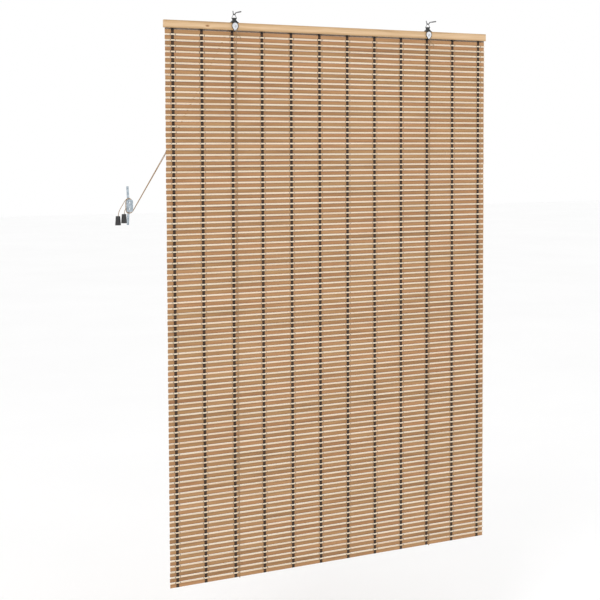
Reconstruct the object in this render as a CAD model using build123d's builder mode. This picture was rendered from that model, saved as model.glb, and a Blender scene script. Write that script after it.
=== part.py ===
"""Bamboo roll up blind: headrail on two hooks, woven mat of slats, lift cords, pulleys and cleat.

Millimetres. +Z is up and +X is to the right, seen from the wall. The wall is the plane Y = 0, and
the room lies at +Y. The origin is midway between the two hook shanks, where they enter the wall.
"""
from build123d import *
import math
import os

os.makedirs("parts", exist_ok=True)

# ---- mat ----
mat_width = 1094.0
# Slats in each stretch that rolls as one. Each stretch is at least a row shorter than the next but
# one above it, so at a right angle between stretches the mat winds into a square roll with no clash.
row_count = [9, 11, 11, 9, 9, 7, 7, 6, 5, 5, 4, 4, 3, 3, 2, 2, 1, 1]
row_pitch = 15.93
slat_width = 11.0
slat_thickness = 1.6
slat_edge = 0.4
stick_width = 4.2
stick_thickness = 2.0
stick_edge = 0.7
ribbon_width = 6.5
ribbon_thickness = 0.6
end_ribbon_x = 523.5
first_inner_ribbon_x = -434.5
inner_ribbon_spacing = 95.45
inner_ribbon_count = 10
thread_thickness = 0.9
fold_clearance = 0.2

# ---- headrail ----
rail_length = 1100.0
rail_height = 21.5
rail_thickness = 9.0
rail_edge = 1.0
rail_to_mat = 4.3
kerf_width = 1.0
kerf_depth = 8.4
ribbon_in_kerf = 8.0
staple_reach = 5.5
staple_span = 8.4
staple_wire = 0.9
staple_drop = 19.0
staple_clearance = 0.05

# ---- hooks and rings ----
hook_spacing = 664.0
wall_to_rail = 24.0
hook_wire = 1.5
screw_radius = 1.9
screw_length = 22.0
screw_point = 4.0
hook_dip = 5.0
hook_tip_rise = 6.0
hook_bend = 4.0
ring_wire = 0.9
ring_half_width = 8.8
ring_corner_rise = 17.7
ring_top_bend = 3.0
ring_foot_bend = 2.0
rest_gap = 0.1
bar_over_rail = 10.9

# ---- pulley brackets ----
strap_thickness = 1.2
near_leg_thickness = 3.6
foot_half_width = 11.0
foot_height = 5.6
waist_half_width = 4.6
head_half_width = 6.2
head_height = 13.6
neck_depth = 8.0
eye_clearance = 0.3
drop_radius = 10.0
drop_centre = 9.5
drop_tip_radius = 2.6
drop_tip = 22.0
face_thickness = 1.0
face_inset = 1.2
face_shift = 1.4
becket_radius = 1.4
far_leg_half_width = 5.5
far_leg_length = 16.0
axle_drop = 10.75
axle_radius = 2.0
axle_clearance = 0.05
axle_head_radius = 3.4
axle_head_height = 1.2
axle_past_nut = 0.8
nut_flats = 7.0
nut_height = 2.8

# ---- wheels ----
wheel_radius = 8.2
wheel_width = 4.4
groove_radius = 5.7
groove_floor = 2.6
groove_mouth = 3.8
wheel_gap = 0.3
spacer_radius = 3.0

# ---- cords ----
cord_radius = 1.0
cord_wrap = groove_radius + 0.3 + cord_radius
cord_gap = 0.2
under_gap = 1.0
arc_relief = 0.1
knot_radius = 2.4

# ---- cleat and pulls ----
cleat_from_mat = 119.0
cleat_drop = 511.0
plate_width = 19.0
plate_height = 33.0
plate_thickness = 2.5
plate_corner = 4.0
cleat_screw_spacing = 17.0
cleat_screw_radius = 2.0
stem_inner = 12.0
stem_outer = 19.0
stem_height = 9.0
horn_width = 6.0
horn_tip_reach = 53.0
horn_tip_height = 17.0
horn_tip_thickness = 2.2
pull_height = 25.0
pull_top_radius = 6.0
pull_foot_radius = 8.0
pull_edge = 0.8
pull_hole = 1.4
pull_cavity_radius = 4.5
pull_cavity_depth = 9.0

# ---- places worked out from the sizes above ----
ring_top_z = -hook_dip + hook_wire + ring_wire + rest_gap
ring_half_angle = math.atan(ring_half_width / ring_corner_rise)
ring_rise = ring_corner_rise - ring_top_bend * (1 / math.sin(ring_half_angle) - 1)
bar_z = ring_top_z - ring_rise
rail_top = bar_z - bar_over_rail
rail_bottom = rail_top - rail_height
rail_near = wall_to_rail - rail_thickness / 2
rail_far = wall_to_rail + rail_thickness / 2
first_slat = rail_bottom - rail_to_mat - slat_width / 2
element_gap = (row_pitch - slat_width - stick_width) / 2
slat_face = wall_to_rail + ribbon_thickness / 2
stick_face = wall_to_rail - ribbon_thickness / 2
fold_y = slat_face + slat_thickness + fold_clearance
axle_z = rail_top - axle_drop
leg_far = rail_far + strap_thickness
inner_wheel_y = leg_far + wheel_gap + wheel_width / 2
outer_wheel_y = inner_wheel_y + wheel_width + wheel_gap
nut_y = outer_wheel_y + wheel_width / 2 + wheel_gap
leg_near = rail_near - near_leg_thickness
face_near = leg_near - face_thickness
cord_front_y = stick_face - stick_thickness - thread_thickness - cord_gap - cord_radius
cord_back_y = slat_face + slat_thickness + thread_thickness + cord_gap + cord_radius
total_rows = sum(row_count)
mat_bottom = first_slat - (total_rows - 1) * row_pitch - slat_width / 2
cleat_x = -(mat_width / 2 + cleat_from_mat)
cleat_z = rail_top - cleat_drop
side_x = {"left": -hook_spacing / 2, "right": hook_spacing / 2}
inner_ribbon_x = [first_inner_ribbon_x + i * inner_ribbon_spacing for i in range(inner_ribbon_count)]
ribbon_x = [-end_ribbon_x, *inner_ribbon_x, end_ribbon_x]


def save(part, name):
    """Label a finished piece and write it as parts/name.step."""
    part.label = name
    export_step(part, f"parts/{name}.step")


def slat_z(row):
    """Height of the middle of a wide slat."""
    return first_slat - row * row_pitch


def bevelled(width, height, edge):
    """Corners of a rectangle with cut corners, for an edge that is eased along its grain."""
    w, h = width / 2, height / 2
    return [
        (-w + edge, -h), (w - edge, -h), (w, -h + edge), (w, h - edge),
        (w - edge, h), (-w + edge, h), (-w, h - edge), (-w, -h + edge),
    ]


# ---------------------------------------------------------------- headrail
with BuildPart() as headrail:
    with BuildSketch(Plane.YZ.offset(-rail_length / 2)):
        with Locations((wall_to_rail, rail_top - rail_height / 2)):
            Polygon(*bevelled(rail_thickness, rail_height, rail_edge))
        with Locations((wall_to_rail, rail_bottom)):
            Rectangle(kerf_width, 2 * kerf_depth, mode=Mode.SUBTRACT)
    extrude(amount=rail_length)
    for x in side_x.values():
        with BuildSketch(Plane.XZ.offset(-rail_far - 1)):
            with Locations((x, axle_z)):
                Circle(axle_radius + axle_clearance)
        extrude(amount=rail_thickness + 2, mode=Mode.SUBTRACT)
    leg_hole = staple_wire + 2 * staple_clearance
    leg_places = [(x + s * staple_span / 2, rail_top - staple_drop) for x in ribbon_x for s in (-1, 1)]
    with BuildSketch(Plane.XZ.offset(-rail_far - 1)):
        with Locations(*leg_places):
            Rectangle(leg_hole, leg_hole)
    extrude(amount=staple_reach + staple_clearance + 1, mode=Mode.SUBTRACT)
save(headrail.part, "headrail")

# A staple over each ribbon, driven in from the room side so that its legs cross the kerf.
with BuildPart() as headrail_staples:
    for x in ribbon_x:
        with Locations((x, rail_far + staple_wire / 2, rail_top - staple_drop)):
            Box(staple_span + staple_wire, staple_wire, staple_wire)
        for side in (-1, 1):
            with Locations((x + side * staple_span / 2, rail_far - staple_reach / 2, rail_top - staple_drop)):
                Box(staple_wire, staple_reach, staple_wire)
save(headrail_staples.part, "headrail_staples")

# ---------------------------------------------------------------- mat
# Wide slats lie on the room side of the ribbons and thin sticks on the wall side, between them.
first_row = 0
for band, rows in enumerate(row_count):
    last_row = first_row + rows - 1
    is_last = band == len(row_count) - 1
    band_top = slat_z(first_row) + slat_width / 2 + element_gap / 2
    band_bottom = slat_z(last_row + 1) + slat_width / 2 + element_gap / 2
    if band == 0:
        band_top = rail_bottom + ribbon_in_kerf
    if is_last:
        band_bottom = mat_bottom
    with BuildPart() as slats:
        with BuildSketch(Plane.YZ.offset(-mat_width / 2)):
            with Locations(*[(slat_face + slat_thickness / 2, slat_z(r)) for r in range(first_row, last_row + 1)]):
                Polygon(*bevelled(slat_thickness, slat_width, slat_edge))
            stick_rows = range(first_row, last_row if is_last else last_row + 1)
            stick_places = [(stick_face - stick_thickness / 2, slat_z(r) - row_pitch / 2) for r in stick_rows]
            if stick_places:
                with Locations(*stick_places):
                    Polygon(*bevelled(stick_thickness, stick_width, stick_edge))
        extrude(amount=mat_width)
    save(slats.part, f"slats_{band:02d}")
    ribbon_length = band_top - band_bottom - element_gap / 4
    with BuildPart() as ribbons:
        with Locations(*[(x, wall_to_rail, (band_top + band_bottom) / 2) for x in ribbon_x]):
            Box(ribbon_width, ribbon_thickness, ribbon_length)
    save(ribbons.part, f"ribbons_{band:02d}")
    if not is_last:
        print(f"fold {band + 1}: y {fold_y:.3f} z {band_bottom:.3f}")
    first_row = last_row + 1


def drop_outline(centre_x, inset):
    """Edges of the teardrop of a bracket's near leg: a wide round top and a small round tip below it."""
    big = drop_radius - inset
    small = drop_tip_radius - inset / 2
    top_z = rail_top - drop_centre
    tip_z = rail_top - drop_tip
    lean = math.asin((big - small) / (top_z - tip_z))
    right = (math.cos(lean), -math.sin(lean))
    with BuildLine() as outline:
        a = (centre_x + big * right[0], top_z + big * right[1])
        b = (centre_x + small * right[0], tip_z + small * right[1])
        c = (centre_x - small * right[0], tip_z + small * right[1])
        d = (centre_x - big * right[0], top_z + big * right[1])
        Line(a, b)
        ThreePointArc(b, (centre_x, tip_z - small), c)
        Line(c, d)
        ThreePointArc(d, (centre_x, top_z + big), a)
    return outline.edges()


# ---------------------------------------------------------------- hooks, rings and brackets
for side, x in side_x.items():
    # J hook: pointed screw in the wall, level shank, a dip that the ring sits in, and a raised tip.
    with BuildPart() as hook:
        with BuildLine():
            hook_line = FilletPolyline(
                (x, 0, 0),
                (x, wall_to_rail - 11, 0),
                (x, wall_to_rail - 5, -hook_dip),
                (x, wall_to_rail + 4, -hook_dip),
                (x, wall_to_rail + 7.5, hook_tip_rise),
                radius=hook_bend,
            )
        with BuildSketch(Plane(origin=hook_line @ 0, z_dir=hook_line % 0)):
            Circle(hook_wire)
        sweep()
        with BuildSketch(Plane.YZ.offset(x)):
            with BuildLine():
                Polyline(
                    (0, 0), (0, screw_radius), (-screw_length + screw_point, screw_radius), (-screw_length, 0), (0, 0)
                )
            make_face()
        revolve(axis=Axis((x, 0, 0), (0, 1, 0)))
    save(hook.part, f"{side}_hook")

    # Closed wire ring, a rounded triangle. Its foot is the bar that the bracket turns on.
    with BuildPart() as ring:
        with BuildLine():
            ring_line = FilletPolyline(
                (x - ring_half_width, wall_to_rail, bar_z),
                (x + ring_half_width, wall_to_rail, bar_z),
                (x, wall_to_rail, bar_z + ring_corner_rise),
                radius=[ring_foot_bend, ring_foot_bend, ring_top_bend],
                close=True,
            )
        with BuildSketch(Plane(origin=ring_line @ 0, z_dir=ring_line % 0)):
            Circle(ring_wire)
        sweep()
    save(ring.part, f"{side}_ring")

    # Cast bracket: an eye on a waisted neck, a bridge over the rail, and a leg down each face of it.
    with BuildPart() as bracket:
        with BuildSketch(Plane.XZ.offset(-wall_to_rail - neck_depth / 2)):
            Polygon(
                (x - foot_half_width, rail_top),
                (x + foot_half_width, rail_top),
                (x + foot_half_width, rail_top + strap_thickness),
                (x + waist_half_width, rail_top + foot_height + 1.6),
                (x + waist_half_width, rail_top + foot_height + 4.0),
                (x + head_half_width, rail_top + foot_height + 6.0),
                (x + head_half_width, rail_top + head_height),
                (x - head_half_width, rail_top + head_height),
                (x - head_half_width, rail_top + foot_height + 6.0),
                (x - waist_half_width, rail_top + foot_height + 4.0),
                (x - waist_half_width, rail_top + foot_height + 1.6),
                (x - foot_half_width, rail_top + strap_thickness),
                align=None,
            )
        extrude(amount=neck_depth)
        with BuildSketch(Plane.XY.offset(rail_top)):
            with Locations((x, (leg_near + leg_far) / 2)):
                Rectangle(2 * foot_half_width, leg_far - leg_near)
        extrude(amount=strap_thickness)
        with BuildSketch(Plane.XZ.offset(-rail_near)):
            make_face(drop_outline(x, 0))
            with Locations((x, axle_z)):
                Circle(axle_radius + axle_clearance, mode=Mode.SUBTRACT)
            with Locations((x, rail_top - drop_tip)):
                Circle(becket_radius, mode=Mode.SUBTRACT)
        extrude(amount=near_leg_thickness)
        with BuildSketch(Plane.XZ.offset(-leg_far)):
            with Locations((x, rail_top + strap_thickness - (far_leg_length + strap_thickness) / 2)):
                Rectangle(2 * far_leg_half_width, far_leg_length + strap_thickness)
            with Locations((x, axle_z)):
                Circle(axle_radius + axle_clearance, mode=Mode.SUBTRACT)
        extrude(amount=strap_thickness)
        with BuildSketch(Plane.YZ.offset(x - head_half_width - 1)):
            with Locations((wall_to_rail, bar_z)):
                Circle(ring_wire + eye_clearance)
        extrude(amount=2 * head_half_width + 2, mode=Mode.SUBTRACT)
    save(bracket.part, f"{side}_bracket")

    # Bright face plate riveted over the bracket's near leg.
    with BuildPart() as face_plate:
        with BuildSketch(Plane.XZ.offset(-leg_near)):
            make_face(drop_outline(x - face_shift, face_inset))
            with Locations((x, axle_z)):
                Circle(axle_radius + axle_clearance, mode=Mode.SUBTRACT)
            with Locations((x, rail_top - drop_tip)):
                Circle(becket_radius, mode=Mode.SUBTRACT)
        extrude(amount=face_thickness)
    save(face_plate.part, f"{side}_face_plate")

    # Axle: a round head on the face plate, and a shank through the rail, the wheels and the nut.
    with BuildPart() as axle:
        with BuildSketch(Plane.XZ.offset(-face_near)):
            with Locations((x, axle_z)):
                Circle(axle_head_radius)
        extrude(amount=axle_head_height)
        fillet(axle.edges().filter_by(GeomType.CIRCLE).sort_by(Axis.Y)[:1], axle_head_height * 0.7)
        with BuildSketch(Plane.XZ.offset(-face_near)):
            with Locations((x, axle_z)):
                Circle(axle_radius)
        extrude(amount=-(nut_y + nut_height + axle_past_nut - face_near))
    save(axle.part, f"{side}_axle")

with BuildPart() as axle_nuts:
    with BuildSketch(Plane.XZ.offset(-nut_y - nut_height)):
        with Locations(*[(x, axle_z) for x in side_x.values()]):
            RegularPolygon(nut_flats / 2, 6, major_radius=False)
            Circle(axle_radius + axle_clearance, mode=Mode.SUBTRACT)
    extrude(amount=nut_height)
save(axle_nuts.part, "axle_nuts")

# The right axle carries one wheel, so a spacer fills the place of the wheel it does without.
with BuildPart() as right_spacer:
    with BuildSketch(Plane.XZ.offset(-leg_far - wheel_gap / 2 - wheel_width)):
        with Locations((side_x["right"], axle_z)):
            Circle(spacer_radius)
            Circle(axle_radius + axle_clearance, mode=Mode.SUBTRACT)
    extrude(amount=wheel_width)
save(right_spacer.part, "right_spacer")

# ---------------------------------------------------------------- wheels
wheel_places = {
    "left_inner_wheel": ("left", inner_wheel_y),
    "left_outer_wheel": ("left", outer_wheel_y),
    "right_wheel": ("right", outer_wheel_y),
}
for name, (side, y) in wheel_places.items():
    middle = Plane(origin=(side_x[side], y, axle_z), x_dir=(0, 0, 1), z_dir=(1, 0, 0))
    half = wheel_width / 2
    with BuildPart() as wheel:
        with BuildSketch(middle):
            with BuildLine():
                Polyline(
                    (axle_radius + axle_clearance, -half),
                    (wheel_radius, -half),
                    (wheel_radius, -groove_mouth / 2),
                    (groove_radius, -groove_floor / 2),
                    (groove_radius, groove_floor / 2),
                    (wheel_radius, groove_mouth / 2),
                    (wheel_radius, half),
                    (axle_radius + axle_clearance, half),
                    close=True,
                )
            make_face()
        revolve(axis=Axis((side_x[side], y, axle_z), (0, 1, 0)))
    save(wheel.part, name)

# ---------------------------------------------------------------- cleat
with BuildPart() as cleat:
    with BuildSketch(Plane.XZ):
        with Locations((cleat_x, cleat_z)):
            RectangleRounded(plate_width, plate_height, plate_corner)
            with GridLocations(0, cleat_screw_spacing, 1, 2):
                Circle(cleat_screw_radius, mode=Mode.SUBTRACT)
    extrude(amount=-plate_thickness)
    for up in (1, -1):
        with BuildSketch(Plane.YZ.offset(cleat_x - horn_width / 2)):
            with BuildLine():
                under = Line((plate_thickness, cleat_z + up * stem_inner), (stem_height, cleat_z + up * stem_inner))
                back = Spline(
                    under @ 1,
                    (horn_tip_height * 0.84, cleat_z + up * (stem_outer + 9)),
                    (horn_tip_height, cleat_z + up * (horn_tip_reach - horn_tip_thickness / 2)),
                    tangents=[(0.75, up * 1.0), (0.08, up * 1.0)],
                )
                tip = ThreePointArc(
                    back @ 1,
                    (horn_tip_height - horn_tip_thickness / 2, cleat_z + up * horn_tip_reach),
                    (horn_tip_height - horn_tip_thickness, cleat_z + up * (horn_tip_reach - horn_tip_thickness / 2)),
                )
                front = Spline(
                    tip @ 1,
                    (horn_tip_height * 0.84 - 3.2, cleat_z + up * (stem_outer + 9)),
                    (stem_height - 0.4, cleat_z + up * stem_outer),
                    tangents=[(-0.08, -up * 1.0), (-0.75, -up * 1.0)],
                )
                inner = Line(front @ 1, (plate_thickness, cleat_z + up * (plate_height / 2 - 0.5)))
                Line(inner @ 1, under @ 0)
            make_face()
        extrude(amount=horn_width)
save(cleat.part, "cleat")

# ---------------------------------------------------------------- pulls
# Turned pulls hang by the cleat on the ends of the cords. Places are taken from the cleat's centre.
pull_place = {
    "left": (cleat_x - 28.5, 16.0, cleat_z - 28.0),
    "right": (cleat_x - 13.5, 9.5, cleat_z - 22.5),
}
for side, (x, y, top) in pull_place.items():
    with BuildPart() as pull:
        with BuildSketch(Plane(origin=(x, y, top), x_dir=(1, 0, 0), z_dir=(0, -1, 0))):
            with BuildLine():
                Polyline(
                    (pull_hole, 0),
                    (pull_top_radius, 0),
                    (pull_foot_radius, -pull_height),
                    (pull_cavity_radius, -pull_height),
                    (pull_cavity_radius, -pull_height + pull_cavity_depth),
                    (pull_hole, -pull_height + pull_cavity_depth),
                    close=True,
                )
            make_face()
        revolve(axis=Axis((x, y, top), (0, 0, 1)))
        rims = pull.edges().filter_by(GeomType.CIRCLE).filter_by(lambda e: e.radius > pull_cavity_radius + 0.5)
        fillet(rims, pull_edge)
    save(pull.part, f"{side}_pull")

# ---------------------------------------------------------------- cords
# Each cord is one length. It is knotted to the near leg of its bracket, drops down the wall side of
# the mat, goes under it, climbs the room side, and turns over its wheel (lift cord). From there it
# goes round the edge of the mat to the cleat and ends in a pull (pull cord).
wheel_arc = cord_wrap - arc_relief
under_z = mat_bottom - under_gap - cord_radius
under_arc = (cord_back_y - cord_front_y) / 2 - arc_relief
knot_y = face_near - cord_gap - cord_radius
wrap_z = axle_z + cord_wrap
exit_x = side_x["left"] - 3.8
exit_run = 12.0
mat_edge = {
    "left": (-mat_width / 2 - 1.0, slat_face + slat_thickness + cord_gap + cord_radius, rail_top - 373.6),
    "right": (-mat_width / 2 - 1.0, slat_face + slat_thickness + cord_gap + cord_radius, rail_top - 369.0),
}
edge_arc = 10.0


def cord_line(points, tight):
    """Straight runs joined by tangent arcs. tight gives the radius at corners that go round something."""
    radii = []
    for i in range(1, len(points) - 1):
        before = Vector(*points[i]) - Vector(*points[i - 1])
        after = Vector(*points[i + 1]) - Vector(*points[i])
        half_turn = math.radians(before.get_angle(after)) / 2
        free = 0.45 * min(before.length, after.length) / math.tan(half_turn)
        radii.append(tight.get(i, free))
    print("radii", [round(r, 1) for r in radii])
    return FilletPolyline(*[Vector(*p) for p in points], radius=radii)


def save_cord(points, tight, knot, name):
    """Sweep a cord along its route, add its knot, and compare its volume with section times length."""
    with BuildPart() as cord:
        with BuildLine() as route:
            cord_line(points, tight)
        path = route.wires()[0]
        with BuildSketch(Plane(origin=path @ 0, z_dir=path % 0)):
            Circle(cord_radius)
        sweep(path=path)
        tube = math.pi * cord_radius**2 * path.length
        print(name, "length", round(path.length, 1), "volume ratio", round(cord.part.volume / tube, 4))
        with Locations(knot):
            Sphere(knot_radius)
    save(cord.part, name)


wheel_exit = {}
wheel_y = {"left": inner_wheel_y, "right": outer_wheel_y}
for side, x in side_x.items():
    y = wheel_y[side]
    corner = Vector(exit_x, y, wrap_z)
    wheel_exit[side] = corner + (Vector(*mat_edge[side]) - corner).normalized() * exit_run
    lift_points = [
        (x, knot_y, rail_top - drop_tip),
        (x + 2.5, knot_y + 0.4, rail_top - 31.0),
        (x + 4.0, cord_front_y, rail_top - 62.0),
        (x + 4.0, cord_front_y, under_z),
        (x + cord_wrap, cord_back_y, under_z),
        (x + cord_wrap, y, wrap_z),
        (exit_x, y, wrap_z),
        tuple(wheel_exit[side]),
    ]
    lift_tight = {2: 40.0, 3: under_arc, 4: under_arc, 5: wheel_arc, 6: wheel_arc}
    save_cord(lift_points, lift_tight, lift_points[1], f"{side}_lift_cord")

knot_depth = pull_height - pull_cavity_depth + knot_radius + rest_gap
pull_route = {
    "left": [
        (10.5, 7.2, -17.5), (0, 6.6, -22.0), (-10.0, 6.8, -16.0), (-1.0, 8.4, -1.5), (9.5, 6.8, 14.5),
        (1.0, 6.6, 22.0), (-9.5, 7.5, 16.5), (-20.0, 11.5, -3.0), (-28.5, 16.0, -20.0),
    ],
    "right": [
        (10.5, 4.6, -14.5), (0, 3.9, -21.8), (-10.0, 3.9, -15.5), (-11.2, 4.0, 0.5), (-9.5, 4.0, 15.5),
        (0, 4.0, 21.8), (9.0, 4.2, 15.0), (1.0, 5.2, 3.0), (-7.5, 5.5, -6.5), (-13.5, 9.5, -15.5),
    ],
}
for side, route_points in pull_route.items():
    px, py, top = pull_place[side]
    knot = (px, py, top - knot_depth)
    at_cleat = [(cleat_x + dx, y, cleat_z + dz) for dx, y, dz in route_points]
    points = [tuple(wheel_exit[side]), mat_edge[side]] + at_cleat + [knot]
    save_cord(points, {1: edge_arc}, knot, f"{side}_pull_cord")
print(f"mount hook z 0, rail_top {rail_top:.3f}, bar_z {bar_z:.3f}, axle_z {axle_z:.3f}")
print(f"wheels y {inner_wheel_y:.3f} {outer_wheel_y:.3f}, cleat {cleat_x:.1f} {cleat_z:.3f}")
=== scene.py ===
# %% [markdown]
# # Bamboo roll up blind
# The blind hangs from two screw hooks: a pine rail, a mat of split bamboo slats and peeled sticks
# woven together by dark ribbons and thin side threads, two cords that roll it up, and a cleat.
# The metal fittings already have their true shape in the frame, so they only get a finish. The mat
# and the cords are soft or repeated things, so they are built here. One unit is one metre, the wall
# is at Y = 0 and the room is at +Y. The camera sees the wall side, which faces -Y.

# %% Load the frame
import bpy
import math
from mathutils import Matrix, Vector


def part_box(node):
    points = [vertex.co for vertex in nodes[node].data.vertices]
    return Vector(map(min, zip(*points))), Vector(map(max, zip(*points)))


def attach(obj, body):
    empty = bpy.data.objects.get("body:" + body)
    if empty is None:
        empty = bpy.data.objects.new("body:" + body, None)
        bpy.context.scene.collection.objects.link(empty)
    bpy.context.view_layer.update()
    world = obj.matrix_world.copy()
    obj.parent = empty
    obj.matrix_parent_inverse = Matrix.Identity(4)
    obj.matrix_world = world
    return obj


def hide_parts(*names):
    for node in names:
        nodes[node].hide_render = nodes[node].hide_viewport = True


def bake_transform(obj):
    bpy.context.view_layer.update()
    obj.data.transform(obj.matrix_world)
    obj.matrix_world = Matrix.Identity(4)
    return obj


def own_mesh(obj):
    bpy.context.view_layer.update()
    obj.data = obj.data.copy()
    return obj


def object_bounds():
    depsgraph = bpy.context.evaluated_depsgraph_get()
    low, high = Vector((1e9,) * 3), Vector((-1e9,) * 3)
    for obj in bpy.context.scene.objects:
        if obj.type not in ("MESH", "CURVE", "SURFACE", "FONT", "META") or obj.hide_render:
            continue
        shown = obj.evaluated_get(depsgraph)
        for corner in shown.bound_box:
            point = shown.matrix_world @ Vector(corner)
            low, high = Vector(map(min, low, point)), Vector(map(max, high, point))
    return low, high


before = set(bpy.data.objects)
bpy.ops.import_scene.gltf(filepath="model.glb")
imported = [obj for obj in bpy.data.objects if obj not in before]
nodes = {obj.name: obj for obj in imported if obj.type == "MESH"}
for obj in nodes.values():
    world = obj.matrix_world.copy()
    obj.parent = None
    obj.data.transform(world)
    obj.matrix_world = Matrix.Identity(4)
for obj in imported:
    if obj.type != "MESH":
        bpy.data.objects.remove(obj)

cad_low, cad_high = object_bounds()
print("frame box", [round(v, 4) for v in (*cad_low, *cad_high)])

# %% [markdown]
# ## Sizes
# What the mat is made of is the same on every row, so a few sizes place all of it. They are read
# from the frame where a node's box gives them, and written here where it doesn't.

# %% Sizes of the mat
MM = 0.001
row_pitch = 15.93 * MM
slat_width, slat_thickness, slat_edge = 11.0 * MM, 1.6 * MM, 0.35 * MM
stick_width, stick_thickness, stick_edge = 4.2 * MM, 2.0 * MM, 0.9 * MM
mat_low, mat_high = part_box("slats_00")
mat_half = mat_high.x
slat_y = mat_high.y - slat_thickness / 2
stick_y = mat_low.y + stick_thickness / 2
first_slat = mat_high.z - slat_width / 2
band_count = len([name for name in nodes if name.startswith("slats_")])
rail_low, rail_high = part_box("headrail")
print("bands", band_count, "first slat", round(first_slat, 5), "half width", round(mat_half, 4))

# %% Where the ribbons stand
end_ribbon_x = 523.5 * MM
first_ribbon_mm, ribbon_step_mm, inner_ribbon_count = -434.5, 95.45, 10
inner_ribbon_x = [(first_ribbon_mm + ribbon_step_mm * i) * MM for i in range(inner_ribbon_count)]
ribbon_x = [-end_ribbon_x, *inner_ribbon_x, end_ribbon_x]
element_gap = (row_pitch - slat_width - stick_width) / 2


def first_row_of(band):
    """Number of the first wide slat of a band, counted from the top of the mat."""
    return round((first_slat - (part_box(f"slats_{band:02d}")[1].z - slat_width / 2)) / row_pitch)


band_rows = [first_row_of(band) for band in range(band_count)]
last_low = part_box(f"slats_{band_count - 1:02d}")[0].z
total_rows = round((first_slat - slat_width / 2 - last_low) / row_pitch) + 1
band_rows.append(total_rows)
print("rows", total_rows, "bands start at", band_rows)

# %% [markdown]
# ## Camera
# A long lens from the left of the blind, level with its upper part, on the wall side. A view looks
# along its own -Z, so the direction is made from two angles and turned into a rotation. The view
# tilts down a little, and a small downward shift of the frame takes in the rest of the mat. With
# less tilt, the sides of a tall subject stay more nearly parallel.

# %% Camera
camera_azimuth = math.radians(29.404)
camera_elevation = math.radians(-3.446)
camera_roll = math.radians(-0.246)
camera_place = (-2.1232, -3.5334, -0.3921)
camera_data = bpy.data.cameras.new("camera")
camera_data.lens = 83.58
camera_data.sensor_width = 36.0
camera_data.shift_x = -0.0012
camera_data.shift_y = -0.108
camera = bpy.data.objects.new("camera", camera_data)
bpy.context.scene.collection.objects.link(camera)
looking = Vector((
    math.sin(camera_azimuth) * math.cos(camera_elevation),
    math.cos(camera_azimuth) * math.cos(camera_elevation),
    math.sin(camera_elevation),
))
turn = looking.to_track_quat("-Z", "Y").to_matrix().to_4x4()
roll = Matrix.Rotation(camera_roll, 4, "Z")
camera.matrix_world = Matrix.Translation(camera_place) @ turn @ roll
bpy.context.scene.camera = camera
print("camera looks along", [round(v, 3) for v in looking])

# %% [markdown]
# ## Tools for node trees
# Geometry Nodes and shaders are both graphs, so one helper adds a node to either: it sets the
# node's own settings, then fills each input with a number or with a link. The maths helper is the
# same thing with less to type.

# %% Helpers for graphs
def add(tree, kind, inputs=None, **settings):
    """A node in a tree, with its settings and its inputs, which are values or other sockets."""
    node = tree.nodes.new(kind)
    for name, value in settings.items():
        setattr(node, name, value)
    for name, value in (inputs or {}).items():
        if isinstance(value, bpy.types.NodeSocket):
            tree.links.new(value, node.inputs[name])
        else:
            node.inputs[name].default_value = value
    return node


def calc(tree, operation, *values):
    """The result of one Math node."""
    return add(tree, "ShaderNodeMath", dict(enumerate(values)), operation=operation).outputs[0]


def vector(tree, x=0.0, y=0.0, z=0.0):
    """Three numbers as one vector."""
    return add(tree, "ShaderNodeCombineXYZ", {"X": x, "Y": y, "Z": z}).outputs[0]


def start_tree(name, sizes):
    """A Geometry Nodes tree with named inputs, its input node, and a geometry output."""
    tree = bpy.data.node_groups.new(name, "GeometryNodeTree")
    tree.interface.new_socket("Geometry", in_out="INPUT", socket_type="NodeSocketGeometry")
    tree.interface.new_socket("Geometry", in_out="OUTPUT", socket_type="NodeSocketGeometry")
    for label, kind in sizes.items():
        tree.interface.new_socket(label, in_out="INPUT", socket_type=f"NodeSocket{kind}")
    return tree, tree.nodes.new("NodeGroupInput").outputs


def end_tree(tree, geometry, material):
    """Turn what a tree made into plain faces with a finish, which is how every tree here ends."""
    real = add(tree, "GeometryNodeRealizeInstances", {0: geometry})
    finish = add(tree, "GeometryNodeSetMaterial", {"Geometry": real.outputs[0], "Material": material})
    add(tree, "NodeGroupOutput", {0: finish.outputs[0]})


def grow(name, tree, sizes, seeds=()):
    """A plain mesh object made by a tree. seeds are the points that the tree starts from."""
    start = bpy.data.meshes.new(f"{name}_start")
    start.from_pydata([tuple(p) for p in seeds], [(i, i + 1) for i in range(len(seeds) - 1)], [])
    piece = bpy.data.objects.new(name, start)
    bpy.context.scene.collection.objects.link(piece)
    growth = piece.modifiers.new("growth", "NODES")
    growth.node_group = tree
    for item in tree.interface.items_tree:
        if item.in_out == "INPUT" and item.name in sizes:
            growth[item.identifier] = sizes[item.name]
    seen = piece.evaluated_get(bpy.context.evaluated_depsgraph_get())
    mesh = bpy.data.meshes.new_from_object(seen)
    piece.modifiers.remove(growth)
    piece.data = mesh
    mesh.name = name
    return piece


def joined(pieces, name):
    """Several mesh objects made one. Each face keeps its own finish."""
    with bpy.context.temp_override(active_object=pieces[0], selected_editable_objects=pieces):
        bpy.ops.object.join()
    pieces[0].name = name
    return pieces[0]


print("helpers ready")

# %% [markdown]
# ## Finishes
# Each finish starts from the same shader. Patterns use Object coordinates, because every piece
# keeps its place in its mesh and sits at the origin, so a grain runs on from slat to slat and never
# slides. A Mapping node stretches a noise along X, and that is what makes wood grain out of it.

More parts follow.
